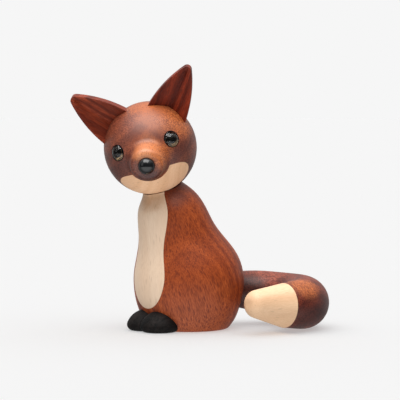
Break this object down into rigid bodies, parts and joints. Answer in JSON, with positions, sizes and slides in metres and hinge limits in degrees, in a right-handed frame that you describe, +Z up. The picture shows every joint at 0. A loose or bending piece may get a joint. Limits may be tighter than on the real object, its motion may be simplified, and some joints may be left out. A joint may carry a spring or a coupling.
{
  "type": "fox figurine",
  "caption": "Sitting wooden fox with a ball head that turns on its neck, leaf-shaped ears, a pale chest strip and a thick bent tail lying beside the body.",
  "frame": {"origin": "centre of the body's flat base, on the surface that the fox sits on", "axes": "-Y is the way the body faces, +X is the fox's left, +Z is up"},
  "size_m": [0.0734, 0.106, 0.1149],
  "materials": {
    "mahogany": "satin lacquered",
    "maple": "satin lacquered",
    "black_wood": "satin black stain",
    "beech": "bare",
    "rubber_ring": "matt",
    "gloss_black": "polished",
    "amber_glass": "polished"
  },
  "bodies": {
    "body": {"body": "mahogany", "chest_strip": "maple", "paw_left": "black_wood", "paw_right": "black_wood", "neck_dowel": "beech", "neck_ring": "rubber_ring"},
    "head": {"head": "mahogany", "jaw": "maple", "nose": "gloss_black", "eye_cup_left": "gloss_black", "eye_cup_right": "gloss_black", "eye_glass_left": "amber_glass", "eye_glass_right": "amber_glass", "ear_left": "mahogany", "ear_right": "mahogany"},
    "tail": {"tail": "mahogany", "tail_tip": "maple", "tip_pin": "beech", "tail_dowel": "beech", "tail_ring": "rubber_ring"}
  },
  "joints": [
    {"name": "head_turn", "type": "hinge", "parent": "body", "child": "head", "pos_m": [0, -0.0207, 0.07925], "axis": [0, -0.342, 0.9397], "continuous": true},
    {"name": "tail_turn", "type": "hinge", "parent": "body", "child": "tail", "pos_m": [0, 0.0214, 0.0155], "axis": [0, -1, 0], "range_deg": [0, 65]}
  ]
}
